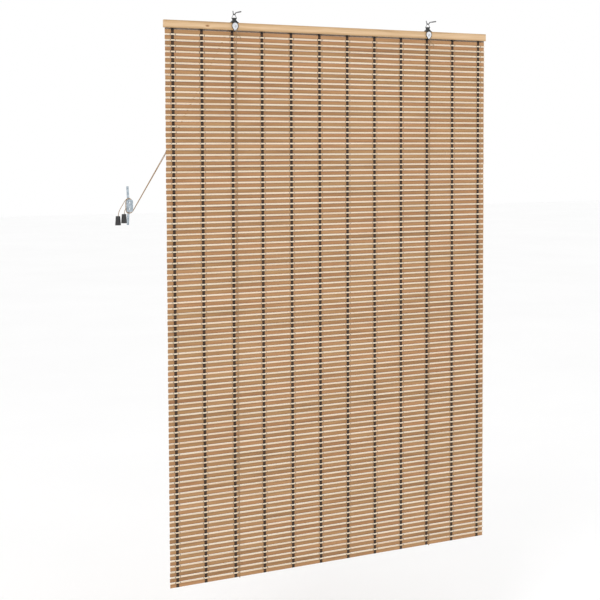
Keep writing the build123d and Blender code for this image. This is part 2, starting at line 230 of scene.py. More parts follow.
# %% Helpers for finishes
def new_finish(name, roughness, metallic=0.0, **sockets):
    """A material with its shader, and the Object coordinates that its patterns read."""
    material = bpy.data.materials.new(name)
    material.use_nodes = True
    tree = material.node_tree
    shader = tree.nodes["Principled BSDF"]
    shader.inputs["Roughness"].default_value = roughness
    shader.inputs["Metallic"].default_value = metallic
    for label, value in sockets.items():
        shader.inputs[label.replace("_", " ")].default_value = value
    return material, tree, shader, add(tree, "ShaderNodeTexCoord").outputs["Object"]


def stretched(tree, place, scale, move=None):
    """Coordinates stretched along each axis, and moved."""
    inputs = {"Vector": place, "Scale": scale}
    if move is not None:
        inputs["Location"] = move
    return add(tree, "ShaderNodeMapping", inputs).outputs[0]


def noise(tree, place, scale=1.0, detail=3.0, roughness=0.55):
    """A noise from 0 to 1."""
    inputs = {"Vector": place, "Scale": scale, "Detail": detail, "Roughness": roughness}
    return add(tree, "ShaderNodeTexNoise", inputs).outputs[0]


def ramp(tree, value, stops):
    """A colour chosen by a number. stops is a list of (place, colour)."""
    node = add(tree, "ShaderNodeValToRGB", {"Fac": value})
    while len(node.color_ramp.elements) < len(stops):
        node.color_ramp.elements.new(0.5)
    for element, (place, colour) in zip(node.color_ramp.elements, stops):
        element.position = place
        element.color = (*colour, 1)
    return node.outputs[0]


def mix(tree, share, a, b, blend_type="MIX"):
    """One colour laid over another."""
    node = add(tree, "ShaderNodeMix", data_type="RGBA", blend_type=blend_type)
    for index, value in ((0, share), (6, a), (7, b)):
        if isinstance(value, bpy.types.NodeSocket):
            tree.links.new(value, node.inputs[index])
        else:
            node.inputs[index].default_value = value if index == 0 else (*value, 1)
    return node.outputs[2]


def bump(tree, shader, height, depth, strength=0.6):
    """Fine relief from a height."""
    node = add(tree, "ShaderNodeBump", {"Height": height, "Distance": depth, "Strength": strength})
    tree.links.new(node.outputs[0], shader.inputs["Normal"])


def connect(tree, value, shader, label):
    """Link a socket to one of the shader's inputs."""
    tree.links.new(value, shader.inputs[label])


print("finish helpers ready")

# %% [markdown]
# ### Bamboo
# A wide slat is split from the wall of a cane, so its fibres run its whole length as fine streaks,
# and no two slats have the same tone. The tone comes from an attribute that the mat's own tree
# stores on each bar. The long edges of a wide slat are darkened as painted shade. The thin sticks
# are peeled cane, paler and smoother, and a dark rod fills the gap under the rail as painted shadow.

# %% Split bamboo and peeled sticks
def rows_away(tree, place):
    """How far a point is from the middle of the nearest wide slat, in metres."""
    height = add(tree, "ShaderNodeSeparateXYZ", {0: place}).outputs["Z"]
    rows_down = calc(tree, "DIVIDE", calc(tree, "SUBTRACT", first_slat, height), row_pitch)
    from_row = calc(tree, "SUBTRACT", rows_down, calc(tree, "ROUND", rows_down))
    return calc(tree, "MULTIPLY", calc(tree, "ABSOLUTE", from_row), row_pitch)


def share_between(tree, value, low, high):
    """0 below one value, 1 above another, and smooth between them."""
    inputs = {"Value": value, "From Min": low, "From Max": high}
    return add(tree, "ShaderNodeMapRange", inputs, interpolation_type="SMOOTHSTEP").outputs[0]


def cane(name, shades, warm, edge_shade, roughness, relief):
    """Cane with lengthwise fibres, whose tone and warmth differ from bar to bar.

    shades are its dark, middle and light colours, and warm tints its warmer parts. The edge
    weight darkens the two long edges of a wide slat: painted shade for the gaps beside the sticks.
    """
    dark, middle, light = shades
    material, tree, shader, place = new_finish(name, roughness)
    tone = add(tree, "ShaderNodeAttribute", attribute_name="tone").outputs["Fac"]
    slide = vector(tree, x=calc(tree, "MULTIPLY", tone, 37.0))
    fibres = noise(tree, stretched(tree, place, (9.0, 900.0, 900.0), slide), detail=4.0)
    clouds = noise(tree, stretched(tree, place, (5.0, 60.0, 60.0), slide), detail=2.0)
    grain = calc(tree, "ADD", calc(tree, "MULTIPLY", fibres, 0.55), calc(tree, "MULTIPLY", clouds, 0.45))
    shade = calc(tree, "ADD", grain, calc(tree, "MULTIPLY", calc(tree, "SUBTRACT", tone, 0.5), 0.09))
    wood = ramp(tree, shade, [(0.28, dark), (0.5, middle), (0.74, light)])
    far = vector(tree, x=calc(tree, "MULTIPLY", tone, 91.0))
    warmth = noise(tree, stretched(tree, place, (2.5, 45.0, 45.0), far), detail=1.0)
    warmth = calc(tree, "ADD", warmth, calc(tree, "MULTIPLY", calc(tree, "SUBTRACT", tone, 0.5), 0.15))
    tinted = mix(tree, 1.0, wood, warm, "MULTIPLY")
    wood = mix(tree, share_between(tree, warmth, 0.38, 0.66), wood, tinted)
    # Painted shade: the long edges of each wide slat are darkened towards the dark colour, standing in for
    # the shade in the gaps beside the sticks.
    if edge_shade:
        edge_shade_start = slat_width / 2 - 1.0 * MM
        painted_edge_shade = share_between(tree, rows_away(tree, place), edge_shade_start, slat_width / 2)
        wood = mix(tree, calc(tree, "MULTIPLY", painted_edge_shade, edge_shade), wood, dark)
    connect(tree, wood, shader, "Base Color")
    rough = calc(tree, "MULTIPLY_ADD", fibres, 0.25, roughness - 0.12)
    connect(tree, rough, shader, "Roughness")
    bump(tree, shader, fibres, relief)
    return material


toasted = ((0.24, 0.115, 0.043), (0.39, 0.21, 0.082), (0.51, 0.30, 0.135))
cream = ((0.60, 0.46, 0.30), (0.76, 0.63, 0.46), (0.86, 0.76, 0.60))
# Near-black tones for the rod under the rail, which is painted shadow.
gap_shadow_tones = ((0.08, 0.055, 0.036), (0.16, 0.115, 0.08), (0.24, 0.18, 0.13))
# The wide slats get painted shade on their long edges; the sticks and the rod get none.
split_bamboo = cane("split_bamboo", toasted, (1.05, 0.97, 0.99), edge_shade=0.55, roughness=0.55, relief=0.00025)
peeled_cane = cane("peeled_cane", cream, (1.03, 0.97, 0.94), edge_shade=0.0, roughness=0.45, relief=0.00015)
shadow_rod_finish = cane("shadow_rod_finish", gap_shadow_tones, (1.0, 1.0, 1.0), edge_shade=0.0, roughness=0.6, relief=0.0002)
print("bamboo finishes", split_bamboo.name, peeled_cane.name, shadow_rod_finish.name)

# %% [markdown]
# ### Yarn, thread and cord
# Yarn is plies laid side by side at a slant. A slanted wave gives the plies, and a fine noise gives
# the loose fibres. Sheen is set on the shader itself, because a cloth surface catches light at its
# edges all over.

# %% Yarn, thread and cord finishes
# Painted light on the ribbons: the lighter crown colour holds near the middle of a slat and fades to the
# near-black base, which is painted shade where the yarn dives.
lit_crown_start, lit_crown_end = 0.8 * MM, 3.6 * MM


def yarn(name, dark, light, ply_scale, slant, relief, lit_crown=None):
    """A spun finish: slanted plies with loose fibres. The colour given for the crown is painted light over
    the middle of a slat, where the ribbon lies on top.
    """
    material, tree, shader, place = new_finish(name, 0.9, Sheen_Weight=0.06, Sheen_Roughness=0.6)
    turned = add(tree, "ShaderNodeMapping", {"Vector": place, "Rotation": (0, slant, 0)}).outputs[0]
    inputs = {"Vector": turned, "Scale": ply_scale, "Distortion": 1.5, "Detail": 1.0}
    plies = add(tree, "ShaderNodeTexWave", inputs, bands_direction="Z").outputs["Fac"]
    fibres = noise(tree, place, 2600.0, 2.0)
    height = calc(tree, "MULTIPLY_ADD", plies, 0.7, calc(tree, "MULTIPLY", fibres, 0.3))
    patches = noise(tree, place, 60.0, 2.0)
    shade = calc(tree, "MULTIPLY_ADD", height, 0.7, calc(tree, "MULTIPLY", patches, 0.3))
    colour = ramp(tree, shade, [(0.25, dark), (0.75, light)])
    # Painted light and shade: lighter brown where the ribbon lies over a slat, near black where it dives
    # into the gap.
    if lit_crown:
        crown = share_between(tree, rows_away(tree, place), lit_crown_end, lit_crown_start)
        painted_crown_light = calc(tree, "MULTIPLY", crown, calc(tree, "ADD", patches, 0.15))
        colour = mix(tree, painted_crown_light, colour, lit_crown)
    connect(tree, colour, shader, "Base Color")
    bump(tree, shader, height, relief)
    return material


ribbon_yarn = yarn(
    "ribbon_yarn", (0.005, 0.0035, 0.0025), (0.022, 0.013, 0.008), ply_scale=420.0, slant=0.6,
    relief=0.0002, lit_crown=(0.105, 0.045, 0.016),
)
side_thread = yarn(
    "side_thread", (0.03, 0.022, 0.016), (0.12, 0.09, 0.065), ply_scale=600.0, slant=0.7, relief=0.0001
)
cotton_cord = yarn(
    "cotton_cord", (0.22, 0.125, 0.055), (0.50, 0.33, 0.17), ply_scale=500.0, slant=0.7, relief=0.0001
)
print("yarn finishes", ribbon_yarn.name, side_thread.name, cotton_cord.name)

# %% [markdown]
# ### Pine
# The rail is sawn along the tree, so its growth lines run its length as long stretched bands, a
# little wavy. One small knot shows left of the left pulley: the lines are pushed apart round it.

# %% Pine
knot_from_end, knot_drop = 132 * MM, 2 * MM
rail_middle_z = (rail_low.z + rail_high.z) / 2
knot_place = Vector((rail_low.x + knot_from_end, rail_low.y, rail_middle_z - knot_drop))


def pine():
    """Lacquered pine with long growth lines and one knot."""
    material, tree, shader, place = new_finish("pine", 0.38, Coat_Weight=0.15, Coat_Roughness=0.3)
    from_knot = add(tree, "ShaderNodeVectorMath", {0: place, 1: knot_place}, operation="SUBTRACT")
    oval = stretched(tree, from_knot.outputs[0], (125.0, 200.0, 260.0))
    near = add(tree, "ShaderNodeVectorMath", {0: oval}, operation="LENGTH").outputs["Value"]
    bend = calc(tree, "DIVIDE", 0.5, calc(tree, "ADD", calc(tree, "POWER", near, 2.0), 0.6))
    waves = noise(tree, stretched(tree, place, (1.6, 40.0, 60.0)), detail=2.0)
    height = add(tree, "ShaderNodeSeparateXYZ", {0: place}).outputs["Z"]
    rings = calc(tree, "ADD", calc(tree, "MULTIPLY", height, 190.0), calc(tree, "MULTIPLY", waves, 5.0))
    rings = calc(tree, "SINE", calc(tree, "ADD", rings, calc(tree, "MULTIPLY", bend, 4.0)))
    fibres = noise(tree, stretched(tree, place, (14.0, 700.0, 1100.0)), detail=3.0)
    grain = calc(tree, "MULTIPLY_ADD", rings, 0.2, calc(tree, "MULTIPLY_ADD", fibres, 0.7, 0.15))
    stops = [(0.22, (0.33, 0.19, 0.08)), (0.5, (0.55, 0.35, 0.17)), (0.78, (0.72, 0.50, 0.295))]
    wood = ramp(tree, grain, stops)
    heart = ramp(tree, near, [(0.2, (0.50, 0.36, 0.26)), (0.6, (0.78, 0.66, 0.55)), (0.95, (1, 1, 1))])
    connect(tree, mix(tree, 1.0, wood, heart, "MULTIPLY"), shader, "Base Color")
    bump(tree, shader, fibres, 0.0002, 0.4)
    return material


pine_rail = pine()
print("pine knot at", [round(v, 3) for v in knot_place])

# %% [markdown]
# ### Metal and moulded finishes
# The fittings are small pressed and plated parts. Plating is never quite even, so a soft noise
# moves the tone and the roughness, and a stretched one leaves fine marks from pressing.

# %% Metal and moulded finishes
def fitting(name, dark, light, roughness, metallic, scale, relief, marks=(1.0, 1.0, 1.0)):
    """A hard finish whose tone and roughness drift over the surface. marks stretches its fine marks."""
    material, tree, shader, place = new_finish(name, roughness, metallic)
    drift = noise(tree, place, scale, 3.0)
    fine = noise(tree, stretched(tree, place, marks), scale * 7, 3.0)
    shade = calc(tree, "MULTIPLY_ADD", fine, 0.4, calc(tree, "MULTIPLY", drift, 0.6))
    connect(tree, ramp(tree, shade, [(0.3, dark), (0.7, light)]), shader, "Base Color")
    connect(tree, calc(tree, "MULTIPLY_ADD", shade, 0.3, roughness - 0.15), shader, "Roughness")
    bump(tree, shader, fine, relief, 0.35)
    return material


steel_wire = fitting(
    "steel_wire", (0.10, 0.10, 0.105), (0.26, 0.26, 0.27), 0.35, metallic=1.0, scale=300.0, relief=0.00008
)
ring_steel = fitting(
    "ring_steel", (0.14, 0.14, 0.145), (0.32, 0.32, 0.33), 0.35, metallic=1.0, scale=300.0, relief=0.00006
)
black_enamel = fitting(
    "black_enamel", (0.004, 0.005, 0.005), (0.020, 0.024, 0.024), 0.35, metallic=0.0, scale=180.0,
    relief=0.0001,
)
bright_plate = fitting(
    "bright_plate", (0.44, 0.46, 0.49), (0.86, 0.88, 0.91), 0.2, metallic=1.0, scale=130.0,
    relief=0.00005, marks=(1.0, 1.0, 6.0),
)
zinc_plate = fitting(
    "zinc_plate", (0.10, 0.14, 0.17), (0.72, 0.80, 0.87), 0.3, metallic=1.0, scale=160.0,
    relief=0.0001, marks=(1.0, 1.0, 3.0),
)
turned_nylon = fitting(
    "turned_nylon", (0.68, 0.66, 0.60), (0.86, 0.85, 0.80), 0.42, metallic=0.0, scale=200.0, relief=0.00006
)
black_moulding = fitting(
    "black_moulding", (0.010, 0.010, 0.011), (0.038, 0.037, 0.036), 0.45, metallic=0.0, scale=260.0,
    relief=0.00012,
)
plated_nut = fitting(
    "plated_nut", (0.40, 0.40, 0.41), (0.66, 0.66, 0.67), 0.28, metallic=1.0, scale=240.0, relief=0.00006
)
painted = {
    "headrail": pine_rail,
    "headrail_staples": plated_nut,
    "cleat": zinc_plate,
    "axle_nuts": plated_nut,
    "right_spacer": turned_nylon,
}
for side in ("left", "right"):
    painted[f"{side}_hook"] = steel_wire
    painted[f"{side}_ring"] = ring_steel
    painted[f"{side}_bracket"] = black_enamel
    painted[f"{side}_face_plate"] = bright_plate
    painted[f"{side}_axle"] = plated_nut
    painted[f"{side}_pull"] = black_moulding
for name in ("left_inner_wheel", "left_outer_wheel", "right_wheel"):
    painted[name] = turned_nylon
for name, material in painted.items():
    nodes[name].data.materials.clear()
    nodes[name].data.materials.append(material)
print("finished fittings", len(painted))

# %% [markdown]
# ## The mat
# One bar is a rounded rectangle swept along a line, and the mat repeats it down its length. The
# tree puts a point on each row, sets a bar on each point, and stores a random tone on it. After the
# bars are real geometry, a slow noise moves them a fraction of a millimetre, because split cane is
# never quite straight.

# %% Tree: rows of bars
rows_tree, given = start_tree("rows_of_bars", {
    "Rows": "Int", "Pitch": "Float", "First": "Float", "Depth": "Float", "Length": "Float",
    "Width": "Float", "Thickness": "Float", "Edge": "Float", "Waviness": "Float", "End play": "Float",
    "Seed": "Int", "Finish": "Material",
})


def build_rows_tree(tree, given):
    """Points down the mat, a bar on each, then a tone and a slight crookedness."""
    start = vector(tree, y=given["Depth"], z=given["First"])
    step = vector(tree, z=calc(tree, "MULTIPLY", given["Pitch"], -1.0))
    down = {"Count": given["Rows"], "Start Location": start, "Offset": step}
    points = add(tree, "GeometryNodeMeshLine", down)
    half = calc(tree, "MULTIPLY", given["Length"], 0.5)
    left = vector(tree, x=calc(tree, "MULTIPLY", half, -1.0))
    line = add(tree, "GeometryNodeCurvePrimitiveLine", {"Start": left, "End": vector(tree, x=half)})
    line = add(tree, "GeometryNodeResampleCurve", {"Curve": line.outputs[0], "Count": 24})
    across = {0: given["Thickness"], 1: given["Width"]}
    outline = add(tree, "GeometryNodeCurvePrimitiveQuadrilateral", across)
    rounding = {"Curve": outline.outputs[0], "Count": 2, "Radius": given["Edge"]}
    outline = add(tree, "GeometryNodeFilletCurve", rounding, mode="POLY")
    sweep = {"Curve": line.outputs[0], "Profile Curve": outline.outputs[0]}
    bar = add(tree, "GeometryNodeCurveToMesh", sweep)
    bar.inputs["Fill Caps"].default_value = True
    play = add(tree, "FunctionNodeRandomValue", {"Seed": given["Seed"]}, data_type="FLOAT")
    play.inputs[2].default_value = -1.0
    play.inputs[3].default_value = 1.0
    shift = vector(tree, x=calc(tree, "MULTIPLY", play.outputs[1], given["End play"]))
    placed = add(tree, "GeometryNodeSetPosition", {"Geometry": points.outputs[0], "Offset": shift})
    stood = {"Points": placed.outputs[0], "Instance": bar.outputs[0]}
    bars = add(tree, "GeometryNodeInstanceOnPoints", stood)
    chance = calc(tree, "ADD", given["Seed"], 1000.0)
    tone = add(tree, "FunctionNodeRandomValue", {"Seed": chance}, data_type="FLOAT")
    toned = add(
        tree, "GeometryNodeStoreNamedAttribute", {"Geometry": bars.outputs[0], "Name": "tone"},
        data_type="FLOAT", domain="INSTANCE",
    )
    tree.links.new(tone.outputs[1], toned.inputs["Value"])
    real = add(tree, "GeometryNodeRealizeInstances", {0: toned.outputs[0]})
    place = add(tree, "GeometryNodeInputPosition").outputs[0]
    along = add(tree, "ShaderNodeSeparateXYZ", {0: place}).outputs["X"]
    own = add(tree, "GeometryNodeInputNamedAttribute", {"Name": "tone"}, data_type="FLOAT").outputs[0]
    where = vector(tree, x=calc(tree, "MULTIPLY", along, 3.2), y=calc(tree, "MULTIPLY", own, 91.0))
    wander = add(tree, "ShaderNodeTexNoise", {"Vector": where, "Scale": 1.0, "Detail": 1.0}).outputs[0]
    sway = calc(tree, "MULTIPLY", calc(tree, "SUBTRACT", wander, 0.5), given["Waviness"])
    crooked = vector(tree, z=calc(tree, "MULTIPLY", sway, 2.0))
    moved = add(tree, "GeometryNodeSetPosition", {"Geometry": real.outputs[0], "Offset": crooked})
    end_tree(tree, moved.outputs[0], given["Finish"])


build_rows_tree(rows_tree, given)
print("rows tree has", len(rows_tree.nodes), "nodes")

# %% Slats and sticks of every band
def band_name(band):
    """Name of the body that a band of the mat moves with."""
    return "hanger" if band == 0 else f"mat_{band:02d}"


end_play = 0.6 * MM
bar_length = 2 * mat_half - 1.6 * MM
slat_waviness, stick_waviness = 0.30 * MM, 0.25 * MM
for band in range(band_count):
    rows = band_rows[band + 1] - band_rows[band]
    top_slat = first_slat - band_rows[band] * row_pitch
    shared = {"Pitch": row_pitch, "Length": bar_length, "End play": end_play}
    slats = grow(f"wide_slats_{band:02d}", rows_tree, {
        **shared, "Rows": rows, "First": top_slat, "Depth": slat_y, "Width": slat_width,
        "Thickness": slat_thickness, "Edge": slat_edge, "Waviness": slat_waviness, "Seed": 11 + band,
        "Finish": split_bamboo,
    })
    stick_rows = rows - 1 if band == band_count - 1 else rows
    if stick_rows:
        sticks = grow(f"sticks_{band:02d}", rows_tree, {
            **shared, "Rows": stick_rows, "First": top_slat - row_pitch / 2, "Depth": stick_y,
            "Width": stick_width, "Thickness": stick_thickness, "Edge": stick_edge,
            "Waviness": stick_waviness, "Seed": 511 + band, "Finish": peeled_cane,
        })
        slats = joined([slats, sticks], f"bamboo_{band:02d}")
    slats.name = f"bamboo_{band:02d}"
    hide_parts(f"slats_{band:02d}")
    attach(slats, band_name(band))
    if band == 0:
        low, high = [Vector(map(f, *[v.co for v in slats.data.vertices])) for f in (min, max)]
        print("first band from", [round(v, 4) for v in low], "to", [round(v, 4) for v in high])
print("bamboo bands", band_count)

# %% Dark rod in the gap under the rail, a painted shadow
# Painted shadow: a dark rod set in the gap between the rail and the first slat, where the rail casts its
# shade.
rod_drop, rod_width, rod_edge = 2.2 * MM, 3.8 * MM, 0.6 * MM
gap_shadow_rod = grow("gap_shadow_rod", rows_tree, {
    "Rows": 1, "Pitch": row_pitch, "First": rail_low.z - rod_drop, "Depth": slat_y,
    "Length": 2 * mat_half - 2 * MM, "Width": rod_width, "Thickness": slat_thickness,
    "Edge": rod_edge, "Waviness": 0.0, "End play": 0.0, "Seed": 3, "Finish": shadow_rod_finish,
})
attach(gap_shadow_rod, "hanger")
print("rod faces", len(gap_shadow_rod.data.polygons))

# %% [markdown]
# ## The weave
# A dark ribbon of several yarns runs down each column, over the wide slats and behind the sticks. A
# thin thread on each side of it does the opposite. One tree makes both: a line down the mat is
# copied once for each yarn, and its depth follows how far each point is from the middle of the
# nearest slat, so it dives through the gap between a slat and a stick. Each yarn is flat, so its
# normal is held along the depth of the mat, which keeps the yarn from turning edge-on.

# %% Tree: yarns that weave through the rows
weave_tree, given = start_tree("woven_yarns", {
    "Top": "Float", "Bottom": "Float", "First": "Float", "Pitch": "Float", "Samples": "Int",
    "Yarns": "Int", "Yarn spacing": "Float", "Yarn width": "Float", "Yarn thickness": "Float",
    "Sides": "Int", "Depth at slat": "Float", "Depth at stick": "Float", "Dive start": "Float",
    "Dive end": "Float", "Looseness": "Float", "Finish": "Material",
})


def build_weave_tree(tree, given):
    """Yarns down each column, each diving between the slats and the sticks."""
    top, bottom = (vector(tree, z=given[end]) for end in ("Top", "Bottom"))
    line = add(tree, "GeometryNodeCurvePrimitiveLine", {"Start": top, "End": bottom})
    line = add(tree, "GeometryNodeResampleCurve", {"Curve": line.outputs[0], "Count": given["Samples"]})
    copies = add(
        tree, "GeometryNodeDuplicateElements", {"Geometry": line.outputs[0], "Amount": given["Yarns"]},
        domain="SPLINE",
    )
    middle = calc(tree, "MULTIPLY", calc(tree, "SUBTRACT", given["Yarns"], 1.0), 0.5)
    step = calc(tree, "SUBTRACT", copies.outputs[1], middle)
    place = add(tree, "GeometryNodeInputPosition").outputs[0]
    height = add(tree, "ShaderNodeSeparateXYZ", {0: place}).outputs["Z"]
    rows_down = calc(tree, "DIVIDE", calc(tree, "SUBTRACT", given["First"], height), given["Pitch"])
    from_row = calc(tree, "SUBTRACT", rows_down, calc(tree, "ROUND", rows_down))
    from_slat = calc(tree, "MULTIPLY", calc(tree, "ABSOLUTE", from_row), given["Pitch"])
    dive = add(tree, "ShaderNodeMapRange", {
        "Value": from_slat, "From Min": given["Dive start"], "From Max": given["Dive end"],
        "To Min": given["Depth at slat"], "To Max": given["Depth at stick"],
    }, interpolation_type="SMOOTHSTEP").outputs[0]
    own = calc(tree, "MULTIPLY", copies.outputs[1], 17.3)
    where = vector(tree, x=own, z=calc(tree, "MULTIPLY", height, 130.0))
    wander = add(tree, "ShaderNodeTexNoise", {"Vector": where, "Scale": 1.0, "Detail": 1.0}).outputs[0]
    sway = calc(tree, "MULTIPLY", calc(tree, "SUBTRACT", wander, 0.5), given["Looseness"])
    across = calc(tree, "MULTIPLY_ADD", step, given["Yarn spacing"], sway)
    path = {"Geometry": copies.outputs[0], "Offset": vector(tree, x=across, y=dive)}
    woven = add(tree, "GeometryNodeSetPosition", path)
    ring = {"Resolution": given["Sides"], "Radius": 0.5}
    round_yarn = add(tree, "GeometryNodeCurvePrimitiveCircle", ring, mode="RADIUS")
    flatness = vector(tree, given["Yarn thickness"], given["Yarn width"], 1.0)
    pressed = {"Geometry": round_yarn.outputs[0], "Scale": flatness}
    flat_yarn = add(tree, "GeometryNodeTransform", pressed)
    facing = {"Curve": woven.outputs[0], "Normal": vector(tree, y=1.0)}
    level = add(tree, "GeometryNodeSetCurveNormal", facing, mode="FREE")
    sweep = {"Curve": level.outputs[0], "Profile Curve": flat_yarn.outputs[0]}
    solid = add(tree, "GeometryNodeCurveToMesh", sweep)
    solid.inputs["Fill Caps"].default_value = True
    smooth = add(tree, "GeometryNodeSetShadeSmooth", {"Geometry": solid.outputs[0]})
    stood = {"Points": given["Geometry"], "Instance": smooth.outputs[0]}
    columns = add(tree, "GeometryNodeInstanceOnPoints", stood)
    real = add(tree, "GeometryNodeRealizeInstances", {0: columns.outputs[0]})
    loose = add(tree, "ShaderNodeTexNoise", {"Vector": place, "Scale": 45.0, "Detail": 1.0}).outputs[0]
    drift = calc(tree, "MULTIPLY", calc(tree, "SUBTRACT", loose, 0.5), given["Looseness"])
    loosened = {"Geometry": real.outputs[0], "Offset": vector(tree, x=drift)}
    moved = add(tree, "GeometryNodeSetPosition", loosened)
    end_tree(tree, moved.outputs[0], given["Finish"])


build_weave_tree(weave_tree, given)
print("weave tree has", len(weave_tree.nodes), "nodes")

# %% Ribbons and side threads of every band
ribbon_yarns = 5
ribbon_width, yarn_width, yarn_thickness = 8.8 * MM, 1.85 * MM, 0.55 * MM
yarn_stand_off, yarn_set_back = 0.42 * MM, 0.3 * MM
yarn_dive_start, yarn_dive_end = 4.2 * MM, 6.6 * MM
thread_offset = 7.7 * MM
thread_width, thread_size, thread_gap = 2.0 * MM, 0.9 * MM, 0.05 * MM
thread_dive_start, thread_dive_end = slat_width / 2 - 0.7 * MM, slat_width / 2 + 1.1 * MM
yarn_looseness = 0.3 * MM
column_places = [(x, 0, 0) for x in ribbon_x]
thread_places = [(x + side * thread_offset, 0, 0) for x in ribbon_x for side in (-1, 1)]
slat_front = slat_y - slat_thickness / 2
stick_back = stick_y + stick_thickness / 2
for band in range(band_count):
    low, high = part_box(f"ribbons_{band:02d}")
    rows = band_rows[band + 1] - band_rows[band]
    first = first_slat - band_rows[band] * row_pitch
    fold = first - rows * row_pitch + slat_width / 2 + element_gap / 2
    bottom = low.z if band == band_count - 1 else fold
    shared = {"Pitch": row_pitch, "First": first, "Bottom": bottom, "Looseness": yarn_looseness}
    ribbons = grow(f"ribbon_yarns_{band:02d}", weave_tree, {
        **shared, "Top": high.z, "Samples": 8 * rows + 1, "Yarns": ribbon_yarns, "Sides": 5,
        "Yarn spacing": (ribbon_width - yarn_width) / (ribbon_yarns - 1), "Yarn width": yarn_width,
        "Yarn thickness": yarn_thickness, "Depth at slat": slat_front - yarn_stand_off,
        "Depth at stick": stick_back + yarn_set_back, "Dive start": yarn_dive_start,
        "Dive end": yarn_dive_end, "Finish": ribbon_yarn,
    }, column_places)
    threads = grow(f"threads_{band:02d}", weave_tree, {
        **shared, "Top": min(high.z, rail_low.z), "Samples": 10 * rows + 1, "Yarns": 1, "Sides": 4,
        "Yarn spacing": 0.0, "Yarn width": thread_width, "Yarn thickness": thread_size,
        "Depth at slat": slat_y + (slat_thickness + thread_size) / 2 + thread_gap,
        "Depth at stick": stick_y - (stick_thickness + thread_size) / 2 - thread_gap,
        "Dive start": thread_dive_start, "Dive end": thread_dive_end, "Finish": side_thread,
    }, thread_places)
    weave = joined([ribbons, threads], f"weave_{band:02d}")
    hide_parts(f"ribbons_{band:02d}")
    if band == band_count - 1:
        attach(weave, band_name(band))
    else:
        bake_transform(weave)
    if band < 2:
        print("weave", band, "faces", len(weave.data.polygons), "fold at", round(fold, 5))

# %% [markdown]
# ## Cords
# There are two cords. Each is knotted to a pulley, drops down the wall side of the mat, turns under
# it, climbs the room side, goes over its wheel, and runs round the edge of the mat to the cleat. The
# frame cuts each one where it leaves the wheel, so it has two routes: a lift cord and a pull cord.
# A route is a few points listed on one smooth NURBS line. The strands follow points that
# are read back from that line.

# %% Routes of the cords
cord_size = 2.0 * MM
wheel_z = sum(v.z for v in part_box("right_wheel")) / 2
wheel_y = {
    "left": sum(v.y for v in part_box("left_inner_wheel")) / 2,
    "right": sum(v.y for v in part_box("right_wheel")) / 2,
}
hook_out = 332 * MM
hook_x = {"left": -hook_out, "right": hook_out}
down_step, up_step = 4 * MM, 7 * MM
rail_top = rail_high.z
knot_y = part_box("left_face_plate")[0].y - 1.2 * MM
front_y, back_y = 19.6 * MM, 28.0 * MM
under_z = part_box(f"slats_{band_count - 1:02d}")[0].z - 2.0 * MM
wrap_z = wheel_z + 7.0 * MM
exit_x = -335.8 * MM
cleat_low, cleat_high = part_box("cleat")
cleat_x, cleat_z = (cleat_low.x + cleat_high.x) / 2, (cleat_low.z + cleat_high.z) / 2
mat_edge = {
    "left": Vector((-548 * MM, 27.1 * MM, rail_top - 373.6 * MM)),
    "right": Vector((-548 * MM, 27.1 * MM, rail_top - 369.0 * MM)),
}
turns_at_cleat = {
    "left": [
        (10.5, 7.2, -17.5), (0, 6.6, -22.0), (-10.0, 6.8, -16.0), (-1.0, 8.4, -1.5), (9.5, 6.8, 14.5),
        (1.0, 6.6, 22.0), (-9.5, 7.5, 16.5), (-20.0, 11.5, -3.0), (-28.5, 16.0, -20.0),
    ],
    "right": [
        (10.5, 4.6, -14.5), (0, 3.9, -21.8), (-10.0, 3.9, -15.5), (-11.2, 4.0, 0.5), (-9.5, 4.0, 15.5),
        (0, 4.0, 21.8), (9.0, 4.2, 15.0), (1.0, 5.2, 3.0), (-7.5, 5.5, -6.5), (-13.5, 9.5, -15.5),
    ],
}
lift_route, pull_route = {}, {}
for side, x in hook_x.items():
    y = wheel_y[side]
    corner = Vector((exit_x, y, wrap_z))
    leaves = corner + (mat_edge[side] - corner).normalized() * 12 * MM
    near = 12 * MM
    down_x, up_x = x + down_step, x + up_step
    lift_route[side] = [
        (x, knot_y, rail_top - 22 * MM), (x + 2.5 * MM, knot_y + 0.4 * MM, rail_top - 31 * MM),
        (down_x, front_y, rail_top - 50 * MM), (down_x, front_y, rail_top - 74 * MM),
        (down_x, front_y, under_z + near), (down_x, front_y, under_z),
        (up_x, back_y, under_z), (up_x, back_y, under_z + near), (up_x, y, wrap_z - near), (up_x, y, wrap_z),
        (up_x - near, y, wrap_z), (exit_x + near, y, wrap_z), (exit_x, y, wrap_z), tuple(leaves),
    ]
    if side == "left":
        del lift_route[side][10:12]
    pull_low, pull_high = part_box(f"{side}_pull")
    knot = ((pull_low.x + pull_high.x) / 2, (pull_low.y + pull_high.y) / 2, pull_high.z - 18.5 * MM)
    edge = mat_edge[side]
    before = edge + (leaves - edge).normalized() * near
    at_cleat = [(cleat_x + dx * MM, dy * MM, cleat_z + dz * MM) for dx, dy, dz in turns_at_cleat[side]]
    after = edge + (Vector(at_cleat[0]) - edge).normalized() * near
    to_cleat = Vector(at_cleat[0]) + (edge - Vector(at_cleat[0])).normalized() * near
    to_edge = [tuple(leaves), tuple(before), tuple(edge), tuple(after)]
    pull_route[side] = [*to_edge, tuple(to_cleat), *at_cleat, knot]
print("route points", len(lift_route["left"]), len(pull_route["left"]))

